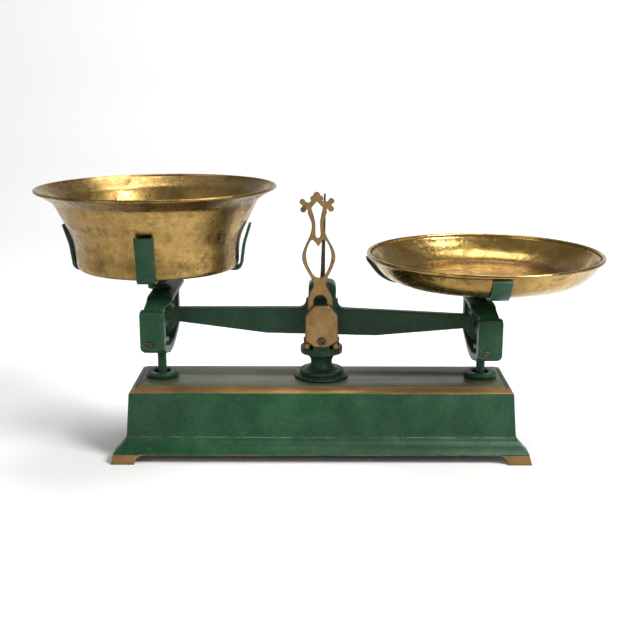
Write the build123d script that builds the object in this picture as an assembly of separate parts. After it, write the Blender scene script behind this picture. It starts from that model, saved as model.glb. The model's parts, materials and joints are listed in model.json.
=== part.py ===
from build123d import *
import os
from math import cos, hypot, pi, radians, sin, tan

# Counter balance with a deep brass bowl on the left and a shallow brass pan on the right.
# Millimetres, +X to the right, -Y towards the customer, +Z up. The origin is on the counter, under the middle
# of the base. Every piece is drawn with the beam level and then put in its rest pose.

# ---- driving dimensions -------------------------------------------------------------------------------------

# linkage
ARM = 148.0  # centre knife to end knife, along the beam
KNIFE_Z = 122.5  # edge of the centre knife
END_KNIFE_DROP = 3.0  # the end knives lie below the centre knife, which keeps the beam stable
STAY_Z = 30.0  # centre pivot of the lower stay
REST_TILT = 1.35  # degrees, right end down
KNIFE_HALF_ANGLE = 35.0
GROOVE_HALF_ANGLE = 60.0
KNIFE_WIDTH = 6.0
KNIFE_DEPTH = 6.0
EDGE_GAP = 0.03  # knife edge to groove root
RUNNING_GAP = 0.08  # shaft to bush, radial
SEAT_GAP = 0.1  # loose parts in their pockets

# base casting
BASE_HALF_LENGTH = ARM + 25.2  # at the top of the plain wall, clear of the collars
BASE_HALF_DEPTH = 41.2
BASE_HEIGHT = 66.4
WALL_TOP_Z = BASE_HEIGHT - 5.4
WALL_DRAFT = 2.8
FLARE_TOP_Z = 19.0
FLARE_RADIUS = 16.0
SKIRT_HALF_LENGTH = BASE_HALF_LENGTH + 13.6
SKIRT_HALF_DEPTH = BASE_HALF_DEPTH + 14.0
SKIRT_Z = 8.2
BASE_WALL = 5.0
MOULDING = (  # shares of its width and height: ogee, fine groove and flat top
    (0, 0), (0.08, 0.26), (0.34, 0.55), (0.72, 0.72), (0.76, 0.62), (0.86, 0.62), (0.88, 0.94), (1, 1),
)
LIP_HEIGHT = 1.2  # upright edge at the bottom of the skirt
TOP_RUN_X = 7.6  # width of the moulding on the ends
TOP_RUN_Y = 9.9  # width of the moulding on the long sides
FOOT_LENGTH = 21.0
FOOT_DEPTH = 15.0
FOOT_CURVE = 9.0
FOOT_SPREAD = 2.2  # each foot is wider at the counter than at the skirt
END_ARCH_Z = 16.5  # the ends are cut higher between their feet than the long sides
END_ARCH_HALF = 20.0  # half width of the flat top of that cut

# collars and stems
STEM_RADIUS = 4.0
STEM_HOLE_RADIUS = STEM_RADIUS + 3.8  # room for the stem to swing sideways
COLLAR_RADIUS = 14.9
COLLAR_HEIGHT = 5.0
COLLAR_ROUNDING = 1.6

# column and bearing bracket
COLUMN_TOP_Z = 93.5
COLUMN_FOOT_RADIUS = 24.9
COLUMN_STEP_RADIUS = 20.6
COLUMN_NECK_RADIUS = 9.7
COLUMN_FLANGE_RADIUS = 19.4
COLUMN_FOOT_HEIGHT = 2.8  # heights above the base top
COLUMN_STEP_HEIGHT = 7.6
COLUMN_NECK_HEIGHT = 13.6
COLUMN_FLANGE_THICKNESS = 3.5
CENTRE_BOLT_RADIUS = 4.0
BOLT_CLEARANCE = 0.4
BOLT_HEAD_RADIUS = 7.5
BOLT_HEAD_HEIGHT = 5.3
BRACKET_FOOT = 2.6
BRACKET_BOSS_RADIUS = 9.0
BRACKET_BOSS = 5.5
BRACKET_SCREW_X = 12.5
BRACKET_SCREW_Y = 10.0
BRACKET_SCREW_HEAD = 4.25
BRACKET_SCREW_RADIUS = 2.0
CHEEK_HALF_WIDTH = 12.6
CHEEK_INNER_Y = 11.0
CHEEK_OUTER_Y = 19.0
CHEEK_TOP_Z = 138.0
POCKET_HALF_WIDTH = 8.0
CENTRE_POCKET = (108.0, 133.0)  # lowest and highest Z

# centre plates
PLATE_HALF_WIDTH = 14.9
PLATE_Z = (100.3, 138.8)
PLATE_THICKNESS = 4.0
PLATE_BEVEL = 1.3
PLATE_SCREW_Z = 106.0
PLATE_SCREW_HEAD = 3.15
PLATE_SCREW_RADIUS = 1.6
FRAME_THICKNESS = 3.0
FRAME_LEAN = -1.95  # degrees, the pointer frame leans to the left
LYRE_SIDE = (  # right-hand outside of the pointer frame, X and Z
    (11.3, 141.0), (5.8, 156.5), (14.8, 181.0), (6.9, 203.0),
    (5.6, 214.0), (8.5, 225.0), (5.2, 232.4), (2.6, 237.2),
)
LYRE_LOOP = ((0, 163.9), (6.2, 168.0), (10.95, 181.0), (8.4, 194.6), (5.7, 198.1), (3.2, 196.6))
LYRE_EYE = ((0, 199.8), (2.2, 203.0), (2.0, 213.0), (4.9, 226.0), (0, 232.4))
LYRE_LOBES = ((9.6, 228.8, 3.3), (12.2, 225.4, 2.6), (12.7, 232.2, 2.6), (3.2, 234.8, 2.6))  # X, Z and radius
LYRE_KNOB = (237.6, 3.1)  # Z and radius
LYRE_ARCH_Z = 142.0  # centre of the arch over the foot's opening
LYRE_ARCH_RADIUS = 6.0

# beam
WEB_THICKNESS = 8.0
WEB_ROOT_X = 50.0
WEB_ROOT_Z = (107.2, 131.6)
WEB_TIP_X = ARM - 14.0
WEB_TIP_Z = (116.3, 128.9)
SHOULDER_HALF_WIDTH = 14.75
SHOULDER_Z = 140.5
HUB_HALF_WIDTH = 12.6
HUB_Z = (105.0, 157.6)
HUB_ROUNDING = 6.5
HUB_SIDE_GAP = 1.5
WEB_FILLET = 6.0
BOSS_FILLET = 5.0
BOSS_RADIUS = 15.5
BOSS_STEP_RADIUS = 12.2
BOSS_HALF_DEPTH = 6.0
ARM_ROOT_RADIUS = 9.5
ARM_RADIUS = 7.3
ARM_STEP_Y = 14.0
BOSS_STEP_Y = 9.5
ARM_END_Y = 41.0

# carriers
BOX_HALF_WIDTH = 10.75
BOX_Z = (101.0, 135.8)
BOX_INNER_Y = 43.5
BOX_OUTER_Y = 51.5
COVER_THICKNESS = 2.0
COVER_CROWN = 1.7
END_POCKET = (111.0, 131.5)
END_POCKET_HALF_WIDTH = 7.5
COVER_SCREW_X = -3.0
COVER_SCREW_Z = 106.4
COVER_SCREW_HEAD = 2.7
COVER_SCREW_RADIUS = 1.4
ARCH_TOP_Z = 147.0
ARCH_THICKNESS = 4.5
ARCH_RADIUS = 17.0  # outside of the bend from leg to arch
ARCH_X = (-5.5, 17.0)  # the arch leans towards the middle of the scale
LEG_HALF_WIDTH = 8.0
BRIDGE_Z = (88.3, 96.0)
STEM_BOSS_RADIUS = 10.0
STEM_THREAD_RADIUS = STEM_RADIUS - 1.0
NUT_HEIGHT = 4.5
NUT_RADIUS = STEM_THREAD_RADIUS + 3.9  # across corners, halved
FORK_RADIUS = STEM_RADIUS + 3.2
FORK_TOP = 12.0
FORK_BOTTOM = 6.5
FORK_SLOT = 8.4
PIN_RADIUS = 2.2

# crosses, which hold the pans
STRIP_WIDTH = 16.0
STRIP_THICKNESS = 2.5
LEFT_CROSS_Z = 164.5  # underside
RIGHT_CROSS_Z = 159.5
BOWL_ARM_GAP = 0.5  # between bowl and strip, at the bend
BOWL_ARM_KNEE = (3.0, 23.0)  # the arm leans outwards, and more above this point
BOWL_ARM_TIP = (8.6, 41.0)
BOWL_ARM_BEND = 7.0
PAN_ARM_GAP = 0.4
PAN_ARM_TIP_IN = 0.7  # tips stay inside the rim
PAN_ARM_TIP_DOWN = 4.0
POST_RADIUS = 8.0
POST_FLANGE_RADIUS = 10.5
CROSS_SCREW_RADIUS = 3.0
COUNTERSINK_DEPTH = STRIP_THICKNESS

# tare weights, around the stems inside the base
TARE_RADIUS = 16.0
TARE_Z = 40.2
TARE_HEIGHT = 2.5  # on the heavier side

# stay
STAY_THICKNESS = 7.6
STAY_ROOT_HEIGHT = 15.0
STAY_TIP_HEIGHT = 9.0
STAY_EYE_RADIUS = 6.0
STAY_BUSH_RADIUS = 4.5
STAY_PIN_RADIUS = 3.0
HANGER_CHEEK_Y = 8.0
HANGER_THICKNESS = 4.0
HANGER_HALF_WIDTH = 20.0
HANGER_SCREW_X = 14.0
HANGER_SCREW_RADIUS = 2.0
HANGER_SCREW_HEAD = 3.6

# pans
BOWL_RIM_RADIUS = 108.5
BOWL_RIM_Z = 239.4
BOWL_WALL = 1.0
BOWL_FOOT_RADIUS = 73.0
BOWL_WAIST_Z = 193.0
BOWL_FLARE_Z = 229.0
BOWL_BENDS = (5.0, 50.0, 9.0)  # radii at the floor, the waist and the lip
BOWL_FLARE_RADIUS = 91.5
BOWL_BEAD = 1.5
PAN_RIM_RADIUS = 108.5
PAN_RIM_Z = 185.3
PAN_WALL = 1.35
PAN_CORNER_RADIUS = 88.0
PAN_CORNER_FILLET = 30.0
PAN_BEAD = 1.75
PAN_SEAT_GAP = 0.1

# pointer
NEEDLE_TIP_Z = 238.0
NEEDLE_THICKNESS = 1.6
NEEDLE_FOOT_Z = (142.5, 157.0)
NEEDLE_SCREW_X = 4.0
NEEDLE_SCREW_RADIUS = 1.2

# densities, grams per cubic millimetre, which size the tare weights
STEEL = 7.85e-3
IRON = 7.2e-3
BRASS = 8.5e-3

END_KNIFE_Z = KNIFE_Z - END_KNIFE_DROP
STEM_PIN_Z = STAY_Z - END_KNIFE_DROP
BASE_ROOF_Z = BASE_HEIGHT - BASE_WALL
LEFT = -1
RIGHT = 1


# ---- shared shapes ------------------------------------------------------------------------------------------

def mirrored(points):
    """Outline closed by the mirror image of a right-hand half, which runs from bottom to top."""
    return points + [(-x, y) for x, y in reversed(points)]


def plate_xz(points, thickness, y=0.0):
    """Polygon drawn in X and Z, centred on y."""
    face = Plane.XZ * make_face(Polyline(*points, close=True))
    return Pos(0, y, 0) * extrude(face, amount=thickness / 2, both=True)


def plate_yz(points, thickness, x=0.0):
    """Polygon drawn in Y and Z, centred on x."""
    face = Plane.YZ * make_face(Polyline(*points, close=True))
    return Pos(x, 0, 0) * extrude(face, amount=thickness / 2, both=True)


def block(x, y, z):
    """Box between three pairs of limits."""
    size = (x[1] - x[0], y[1] - y[0], z[1] - z[0])
    middle = ((x[0] + x[1]) / 2, (y[0] + y[1]) / 2, (z[0] + z[1]) / 2)
    return Pos(*middle) * Box(*size)


def rod_y(radius, start, end, x=0.0, z=0.0):
    """Round bar along Y."""
    return Pos(x, (start + end) / 2, z) * Rot(90, 0, 0) * Cylinder(radius, abs(end - start))


def rod_z(radius, start, end, x=0.0, y=0.0):
    """Round bar along Z."""
    return Pos(x, y, (start + end) / 2) * Cylinder(radius, abs(end - start))


def facing(y_side):
    """Turns a screw that points up so that its head faces -Y (front) or +Y (back)."""
    return Rot(90, 0, 0) if y_side < 0 else Rot(-90, 0, 0)


def slotted_screw(head_radius, head_height, shank_radius, length, slot_angle=0.0):
    """Cheese-head screw: the head sits on Z = 0 and the shank points down."""
    slot_width = head_radius * 0.26
    slot_depth = head_height * 0.4
    head = rod_z(head_radius, 0, head_height)
    head = fillet(head.edges().group_by(Axis.Z)[-1], head_height * 0.18)
    slot = Rot(0, 0, slot_angle) * block(
        (-head_radius * 2, head_radius * 2),
        (-slot_width / 2, slot_width / 2),
        (head_height - slot_depth, head_height * 2),
    )
    return head - slot + rod_z(shank_radius, -length, 0)


def turning(before, corner, after):
    """Signed turn at a corner, positive to the left."""
    first = (corner[0] - before[0], corner[1] - before[1])
    second = (after[0] - corner[0], after[1] - corner[1])
    return first[0] * second[1] - first[1] * second[0]


def parallel(points, gap):
    """The same path moved to its left by a gap."""
    shifted = []
    for start, end in zip(points, points[1:]):
        length = hypot(end[0] - start[0], end[1] - start[1])
        normal = (-(end[1] - start[1]) / length * gap, (end[0] - start[0]) / length * gap)
        shifted.append(((start[0] + normal[0], start[1] + normal[1]), (end[0] + normal[0], end[1] + normal[1])))
    path = [shifted[0][0]]
    for (a, b), (c, d) in zip(shifted, shifted[1:]):
        ab = (b[0] - a[0], b[1] - a[1])
        cd = (d[0] - c[0], d[1] - c[1])
        share = ((c[0] - a[0]) * cd[1] - (c[1] - a[1]) * cd[0]) / (ab[0] * cd[1] - ab[1] * cd[0])
        path.append((a[0] + ab[0] * share, a[1] + ab[1] * share))
    path.append(shifted[-1][1])
    return path


def sheet_section(points, radii, thickness):
    """Section of a bent sheet: the path is its outer side and the sheet lies on the left of it."""
    inner = parallel(points, thickness)
    inner_radii = []
    for index, radius in enumerate(radii):
        side = turning(*points[index:index + 3])
        inner_radii.append(radius - thickness if side > 0 else radius + thickness)
    outer_line = FilletPolyline(*points, radius=radii)
    inner_line = FilletPolyline(*inner, radius=inner_radii)
    ends = Line(points[0], inner[0]) + Line(points[-1], inner[-1])
    return make_face(outer_line + inner_line + ends)


def knife_outline(edge_z, up):
    """Five-sided bar with its edge at edge_z, pointing up or down."""
    sign = 1 if up else -1
    half = KNIFE_WIDTH / 2
    shoulder = edge_z - sign * half / tan(radians(KNIFE_HALF_ANGLE))
    back = edge_z - sign * KNIFE_DEPTH
    return [(-half, back), (half, back), (half, shoulder), (0, edge_z), (-half, shoulder)]


def vee_block(edge_z, far_z, half_width, thickness, up):
    """Hardened bearing with a V groove that takes a knife edge. far_z is its flat side."""
    sign = 1 if up else -1
    root = edge_z + sign * EDGE_GAP
    mouth = root - sign * half_width / tan(radians(GROOVE_HALF_ANGLE))
    outline = [(-half_width, far_z), (half_width, far_z), (half_width, mouth), (0, root), (-half_width, mouth)]
    return plate_xz(outline, thickness)


# ---- base ---------------------------------------------------------------------------------------------------

def moulding(half, run):
    """Half outline of the moulded top edge, from the wall up to the flat top."""
    height = BASE_HEIGHT - WALL_TOP_Z
    return [(half - run * inward, WALL_TOP_Z + height * up) for inward, up in MOULDING]


def flared_outline(half, skirt_half, run):
    """Closed outline of the casting seen along one side: flat top, wall and concave skirt."""
    wall_foot = (half + WALL_DRAFT, FLARE_TOP_Z)
    top = moulding(half, run)
    lip = (skirt_half, SKIRT_Z + LIP_HEIGHT)
    skirt = FilletPolyline(lip, wall_foot, top[0], radius=FLARE_RADIUS)
    left_corners = [(-x, z) for x, z in (lip, wall_foot, top[0])]
    left_skirt = FilletPolyline(*left_corners, radius=FLARE_RADIUS)
    crown = Polyline(*top, *[(-x, z) for x, z in reversed(top)])
    bottom = Polyline(left_corners[0], (-skirt_half, SKIRT_Z), (skirt_half, SKIRT_Z), lip)
    return make_face(skirt + crown + left_skirt + bottom)


def cavity_outline(half, skirt_half, run):
    """Hollow under the casting, one wall inside the outline, and open at the bottom."""
    return mirrored([
        (skirt_half - BASE_WALL, -1.0),
        (skirt_half - BASE_WALL, SKIRT_Z),
        (half + WALL_DRAFT - BASE_WALL, FLARE_TOP_Z + BASE_WALL),
        (half - BASE_WALL, WALL_TOP_Z - run),
        (half - BASE_WALL - run * 0.6, BASE_ROOF_Z),
    ])


def foot_outline(skirt_half, length):
    """Pair of feet seen along one side; each one's inner edge is a hollow curve."""
    outer = skirt_half + FOOT_SPREAD
    inner = outer - length
    foot = make_face(
        Line((inner, 0), (outer, 0)) + Line((outer, 0), (skirt_half, SKIRT_Z))
        + Line((skirt_half, SKIRT_Z), (inner - FOOT_CURVE, SKIRT_Z))
        + ThreePointArc(
            (inner - FOOT_CURVE, SKIRT_Z), (inner - FOOT_CURVE * 0.25, SKIRT_Z * 0.62), (inner, 0))
    )
    return foot + mirror(foot, about=Plane.YZ)


def end_arches():
    """Cut under both ends, between the feet."""
    foot = SKIRT_HALF_DEPTH + FOOT_SPREAD - FOOT_DEPTH
    shoulder = (foot - 3.5, SKIRT_Z + 0.6)
    crown = (END_ARCH_HALF, END_ARCH_Z)
    half = Spline((foot, 0), shoulder, crown, tangents=[(-0.1, 1), (-1, 0)])
    half += Polyline(crown, (0, END_ARCH_Z), (0, 0), (foot, 0))
    face = make_face(half)
    opening = extrude(Plane.YZ * (face + mirror(face, about=Plane.YZ)), amount=2 * SKIRT_HALF_LENGTH, both=True)
    middle = BASE_HALF_LENGTH - BASE_WALL
    return opening - block((-middle, middle), (-200, 200), (-200, 200))


def base_casting():
    reach = 4 * SKIRT_HALF_LENGTH
    front = extrude(Plane.XZ * flared_outline(BASE_HALF_LENGTH, SKIRT_HALF_LENGTH, TOP_RUN_X), reach, both=True)
    side = extrude(Plane.YZ * flared_outline(BASE_HALF_DEPTH, SKIRT_HALF_DEPTH, TOP_RUN_Y), reach, both=True)
    feet_front = extrude(Plane.XZ * foot_outline(SKIRT_HALF_LENGTH, FOOT_LENGTH), reach, both=True)
    feet_side = extrude(Plane.YZ * foot_outline(SKIRT_HALF_DEPTH, FOOT_DEPTH), reach, both=True)
    hollow = plate_xz(cavity_outline(BASE_HALF_LENGTH, SKIRT_HALF_LENGTH, TOP_RUN_X), 2 * reach)
    hollow = hollow & plate_yz(cavity_outline(BASE_HALF_DEPTH, SKIRT_HALF_DEPTH, TOP_RUN_Y), 2 * reach)
    casting = (front & side) + (feet_front & feet_side) - hollow - end_arches()
    for x in (-ARM, ARM):
        casting -= rod_z(STEM_HOLE_RADIUS, 0, BASE_HEIGHT + 1, x)
    casting -= rod_z(CENTRE_BOLT_RADIUS + BOLT_CLEARANCE, 0, BASE_HEIGHT + 1)
    for x in (-HANGER_SCREW_X, HANGER_SCREW_X):
        casting -= rod_z(HANGER_SCREW_RADIUS, 0, BASE_HEIGHT - 1.4, x)
    return casting


def collar(side):
    ring = rod_z(COLLAR_RADIUS, BASE_HEIGHT, BASE_HEIGHT + COLLAR_HEIGHT, side * ARM)
    ring = fillet(ring.edges().group_by(Axis.Z)[-1], COLLAR_ROUNDING)
    return ring - rod_z(STEM_HOLE_RADIUS, BASE_HEIGHT - 1, BASE_HEIGHT + COLLAR_HEIGHT + 1, side * ARM)


def column():
    """Turned pedestal: two discs, a bell, a neck and a flange."""
    step = BASE_HEIGHT + COLUMN_FOOT_HEIGHT + 0.6
    bell = BASE_HEIGHT + COLUMN_STEP_HEIGHT
    neck = BASE_HEIGHT + COLUMN_NECK_HEIGHT
    flange = COLUMN_TOP_Z - COLUMN_FLANGE_THICKNESS
    bore = CENTRE_BOLT_RADIUS + BOLT_CLEARANCE
    disc_low = (COLUMN_FOOT_RADIUS - 1, BASE_HEIGHT)
    disc_edge = (COLUMN_FOOT_RADIUS, BASE_HEIGHT + COLUMN_FOOT_HEIGHT / 2)
    disc_high = (COLUMN_FOOT_RADIUS - 1, BASE_HEIGHT + COLUMN_FOOT_HEIGHT)
    bell_top = (COLUMN_STEP_RADIUS - 1.2, bell)
    waist = (COLUMN_NECK_RADIUS, neck)
    flange_root = (COLUMN_FLANGE_RADIUS - 3.4, flange - 1.2)
    profile = Polyline((bore, BASE_HEIGHT), disc_low)
    profile += ThreePointArc(disc_low, disc_edge, disc_high)
    profile += Polyline(
        disc_high, (COLUMN_STEP_RADIUS - 1, step), (COLUMN_STEP_RADIUS, step + 1),
        (COLUMN_STEP_RADIUS, bell - 1), bell_top)
    profile += ThreePointArc(bell_top, (COLUMN_NECK_RADIUS + 2.2, bell + 2.2), waist)
    profile += ThreePointArc(waist, (COLUMN_NECK_RADIUS + 2.0, flange - 4.0), flange_root)
    profile += Polyline(
        flange_root, (COLUMN_FLANGE_RADIUS, flange), (COLUMN_FLANGE_RADIUS, COLUMN_TOP_Z),
        (bore, COLUMN_TOP_Z), (bore, BASE_HEIGHT))
    return revolve(Plane.XZ * make_face(profile), Axis.Z)


def bracket_screw_places():
    return [(x, y) for x in (-BRACKET_SCREW_X, BRACKET_SCREW_X) for y in (-BRACKET_SCREW_Y, BRACKET_SCREW_Y)]


def column_bolt():
    """Hexagon bolt that clamps hanger, base and column to the bracket."""
    seat = BASE_ROOF_Z - HANGER_THICKNESS
    head = Pos(0, 0, seat - BOLT_HEAD_HEIGHT) * extrude(RegularPolygon(BOLT_HEAD_RADIUS, 6), BOLT_HEAD_HEIGHT)
    return head + rod_z(CENTRE_BOLT_RADIUS, seat, COLUMN_TOP_Z + BRACKET_BOSS - 1)


def cheek(y_side):
    """Upright that holds one centre bearing; its window takes the V block."""
    outline = mirrored([
        (7.5, COLUMN_TOP_Z), (7.5, PLATE_Z[0] + 1.4), (CHEEK_HALF_WIDTH, PLATE_Z[0] + 6.8),
        (CHEEK_HALF_WIDTH, CHEEK_TOP_Z - 8.4), (CHEEK_HALF_WIDTH - 7, CHEEK_TOP_Z),
    ])
    middle = y_side * (CHEEK_INNER_Y + CHEEK_OUTER_Y) / 2
    wall = plate_xz(outline, CHEEK_OUTER_Y - CHEEK_INNER_Y, middle)
    window = block((-POCKET_HALF_WIDTH, POCKET_HALF_WIDTH), (middle - 20, middle + 20), CENTRE_POCKET)
    return wall - (window & plate_xz(outline, 60))


def bearing_bracket():
    foot = rod_z(COLUMN_FLANGE_RADIUS, COLUMN_TOP_Z, COLUMN_TOP_Z + BRACKET_FOOT)
    foot = fillet(foot.edges().group_by(Axis.Z)[-1], 0.8)
    bracket = foot + rod_z(BRACKET_BOSS_RADIUS, COLUMN_TOP_Z, COLUMN_TOP_Z + BRACKET_BOSS)
    bracket = bracket + cheek(-1) + cheek(1)
    bracket -= rod_z(CENTRE_BOLT_RADIUS, COLUMN_TOP_Z - 1, COLUMN_TOP_Z + BRACKET_BOSS - 1)
    for x, y in bracket_screw_places():
        bracket -= rod_z(BRACKET_SCREW_RADIUS, COLUMN_TOP_Z - 1, COLUMN_TOP_Z + BRACKET_FOOT + 1, x, y)
    for y_side in (-1, 1):
        bracket -= centre_plate_screw_hole(y_side)
    return bracket


def bracket_screws():
    screws = []
    for index, (x, y) in enumerate(bracket_screw_places()):
        screw = slotted_screw(BRACKET_SCREW_HEAD, 5.0, BRACKET_SCREW_RADIUS, BRACKET_FOOT, 35 + 50 * index)
        screws.append(Pos(x, y, COLUMN_TOP_Z + BRACKET_FOOT) * screw)
    return screws


def centre_bearing(y_side):
    thickness = CHEEK_OUTER_Y - CHEEK_INNER_Y - 2 * SEAT_GAP
    bearing = vee_block(KNIFE_Z, CENTRE_POCKET[0], POCKET_HALF_WIDTH - SEAT_GAP, thickness, up=False)
    return Pos(0, y_side * (CHEEK_INNER_Y + CHEEK_OUTER_Y) / 2, 0) * bearing


def plate_back_y(y_side):
    """The front plate sits on the pointer frame's foot and the back plate on the cheek."""
    return CHEEK_OUTER_Y + (FRAME_THICKNESS if y_side < 0 else 0)


def centre_plate(y_side):
    """Eight-sided cover with a bevelled outer edge."""
    low, high = PLATE_Z
    outline = mirrored([
        (6.2, low), (PLATE_HALF_WIDTH, low + 5.9), (PLATE_HALF_WIDTH, high - 9.2), (6.8, high),
    ])
    back = plate_back_y(y_side)
    plate = plate_xz(outline, PLATE_THICKNESS, y_side * (back + PLATE_THICKNESS / 2))
    outer_face = plate.faces().sort_by(Axis.Y)[0 if y_side < 0 else -1]
    plate = chamfer(outer_face.edges(), PLATE_BEVEL)
    return plate - rod_y(PLATE_SCREW_RADIUS, -60, 60, z=PLATE_SCREW_Z)


def centre_plate_screw_hole(y_side):
    start = y_side * (CHEEK_INNER_Y + 2)
    end = y_side * (CHEEK_OUTER_Y + 1)
    return rod_y(PLATE_SCREW_RADIUS, start, end, z=PLATE_SCREW_Z)


def centre_plate_screws():
    screws = []
    for y_side in (-1, 1):
        outer = plate_back_y(y_side) + PLATE_THICKNESS
        length = outer - CHEEK_INNER_Y - 2.5
        screw = facing(y_side) * slotted_screw(PLATE_SCREW_HEAD, 1.8, PLATE_SCREW_RADIUS, length, -45)
        screws.append(Pos(0, y_side * outer, PLATE_SCREW_Z) * screw)
    return screws


def pointer_frame():
    """Pierced lyre: foot, waist, loop and a trefoil head. Drawn upright, then leaned about its screw."""
    foot_z = PLATE_Z[0] + 2.0
    outer = Polyline((0, foot_z), (6, foot_z), (LYRE_SIDE[0][0], foot_z + 5), LYRE_SIDE[0])
    outer += Spline(*LYRE_SIDE, tangents=[(0, 1), (0, 1)])
    outer += Polyline(LYRE_SIDE[-1], (0, LYRE_SIDE[-1][1]), (0, foot_z))
    half = make_face(outer)
    for x, z, radius in LYRE_LOBES:
        half += Pos(x, z) * Circle(radius)
    loop = Spline(*LYRE_LOOP, tangents=[(1, 0), (-0.6, -1)])
    loop += Polyline(LYRE_LOOP[-1], (0, LYRE_LOOP[-1][1] - 4.5), LYRE_LOOP[0])
    eye = Spline(*LYRE_EYE, tangents=[(1, 0), (-1, 1.2)])
    eye += Line(LYRE_EYE[-1], LYRE_EYE[0])
    knob_z, knob_radius = LYRE_KNOB
    arch = Pos(0, LYRE_ARCH_Z - 7) * Rectangle(2 * LYRE_ARCH_RADIUS, 14)
    arch += Pos(0, LYRE_ARCH_Z) * Circle(LYRE_ARCH_RADIUS)
    half = half - make_face(loop) - make_face(eye)
    face = half + mirror(half, about=Plane.YZ) + Pos(0, knob_z) * Circle(knob_radius) - arch
    frame = extrude(Plane.XZ * face, amount=FRAME_THICKNESS / 2, both=True)
    frame = Pos(0, -(CHEEK_OUTER_Y + FRAME_THICKNESS / 2), 0) * frame
    hinge = Pos(0, 0, PLATE_SCREW_Z)
    frame = hinge * Rot(0, FRAME_LEAN, 0) * hinge.inverse() * frame
    return frame - rod_y(PLATE_SCREW_RADIUS, -60, 0, z=PLATE_SCREW_Z)


def stay_hanger():
    """Channel under the base roof whose cheeks hold the stay's pivot pin."""
    top = BASE_ROOF_Z
    reach = HANGER_CHEEK_Y + HANGER_THICKNESS
    hanger = block((-HANGER_HALF_WIDTH, HANGER_HALF_WIDTH), (-reach, reach), (top - HANGER_THICKNESS, top))
    outline = mirrored([(7.5, STAY_Z - 6), (HANGER_HALF_WIDTH, top - 2)])
    for y_side in (-1, 1):
        hanger += plate_xz(outline, HANGER_THICKNESS, y_side * (HANGER_CHEEK_Y + HANGER_THICKNESS / 2))
    hanger -= rod_y(STAY_PIN_RADIUS, -60, 60, z=STAY_Z)
    hanger -= rod_z(CENTRE_BOLT_RADIUS + BOLT_CLEARANCE, 0, top + 1)
    for x in (-HANGER_SCREW_X, HANGER_SCREW_X):
        hanger -= rod_z(HANGER_SCREW_RADIUS + 0.3, 0, top + 1, x)
    return hanger


def hanger_screws():
    seat = BASE_ROOF_Z - HANGER_THICKNESS
    screws = []
    for x in (-HANGER_SCREW_X, HANGER_SCREW_X):
        length = HANGER_THICKNESS + BASE_WALL - 1.6
        screw = slotted_screw(HANGER_SCREW_HEAD, 2.4, HANGER_SCREW_RADIUS, length, 20)
        screws.append(Pos(x, 0, seat) * Rot(180, 0, 0) * screw)
    return screws


def stay_pivot_pin():
    reach = HANGER_CHEEK_Y + HANGER_THICKNESS
    pin = rod_y(STAY_PIN_RADIUS, -reach - 1.5, reach + 2.0, z=STAY_Z)
    return pin + rod_y(STAY_PIN_RADIUS + 1.6, -reach - 1.5, -reach, z=STAY_Z)


# ---- beam ---------------------------------------------------------------------------------------------------

def beam_casting():
    """Tapered web with a hub at the middle and a round boss and cross arm at each end."""
    outline = make_face(Polyline(*mirrored([
        (HUB_HALF_WIDTH, WEB_ROOT_Z[0]), (WEB_ROOT_X, WEB_ROOT_Z[0]), (WEB_TIP_X, WEB_TIP_Z[0]),
        (ARM, WEB_TIP_Z[0]), (ARM, WEB_TIP_Z[1]), (WEB_TIP_X, WEB_TIP_Z[1]),
        (SHOULDER_HALF_WIDTH, WEB_ROOT_Z[1] + 0.6), (SHOULDER_HALF_WIDTH, SHOULDER_Z),
    ]), close=True))
    for x in (-ARM, ARM):
        outline += Pos(x, END_KNIFE_Z) * Circle(BOSS_RADIUS)
    at_shoulder = [v for v in outline.vertices() if abs(abs(v.X) - SHOULDER_HALF_WIDTH) < 0.1]
    outline = fillet([v for v in at_shoulder if v.Y < SHOULDER_Z - 1], WEB_FILLET)
    necks = [v for v in outline.vertices() if WEB_TIP_X - 4 < abs(v.X) < ARM - 4 and v.Y < END_KNIFE_Z]
    outline = fillet(necks, BOSS_FILLET)
    web = extrude(Plane.XZ * outline, amount=WEB_THICKNESS / 2, both=True)
    hub_half_depth = CHEEK_INNER_Y - HUB_SIDE_GAP
    hub_face = Pos(0, (HUB_Z[0] + HUB_Z[1]) / 2) * Rectangle(2 * HUB_HALF_WIDTH, HUB_Z[1] - HUB_Z[0])
    hub_face = fillet(hub_face.vertices().group_by(Axis.Y)[-1], HUB_ROUNDING)
    hub = extrude(Plane.XZ * hub_face, amount=hub_half_depth, both=True)
    relief = block((-HUB_HALF_WIDTH + 3, HUB_HALF_WIDTH - 3), (-2, hub_half_depth + 1), (137.0, HUB_Z[1] - 4))
    casting = web + hub - relief
    boss = rod_y(BOSS_RADIUS, -BOSS_HALF_DEPTH, BOSS_HALF_DEPTH)
    boss += rod_y(BOSS_STEP_RADIUS, -BOSS_STEP_Y, BOSS_STEP_Y)
    boss += rod_y(ARM_ROOT_RADIUS, -ARM_STEP_Y, ARM_STEP_Y)
    for y_side in (-1, 1):
        taper = Pos(0, y_side * (ARM_STEP_Y + 3), 0) * facing(y_side) * Cone(ARM_ROOT_RADIUS, ARM_RADIUS, 6)
        boss += taper + rod_y(ARM_RADIUS, y_side * ARM_STEP_Y, y_side * ARM_END_Y)
    for x in (-ARM, ARM):
        casting += Pos(x, 0, END_KNIFE_Z) * boss
    casting -= centre_knife()
    for side in (LEFT, RIGHT):
        casting -= end_knife(side)
    for x in (-NEEDLE_SCREW_X, NEEDLE_SCREW_X):
        casting -= rod_y(NEEDLE_SCREW_RADIUS, -hub_half_depth - 1, -hub_half_depth + 5, x, needle_screw_z())
    return casting


def centre_knife():
    """Edge down, resting in both centre bearings."""
    return plate_xz(knife_outline(KNIFE_Z, up=False), 2 * (CHEEK_OUTER_Y - 0.4))


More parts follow.
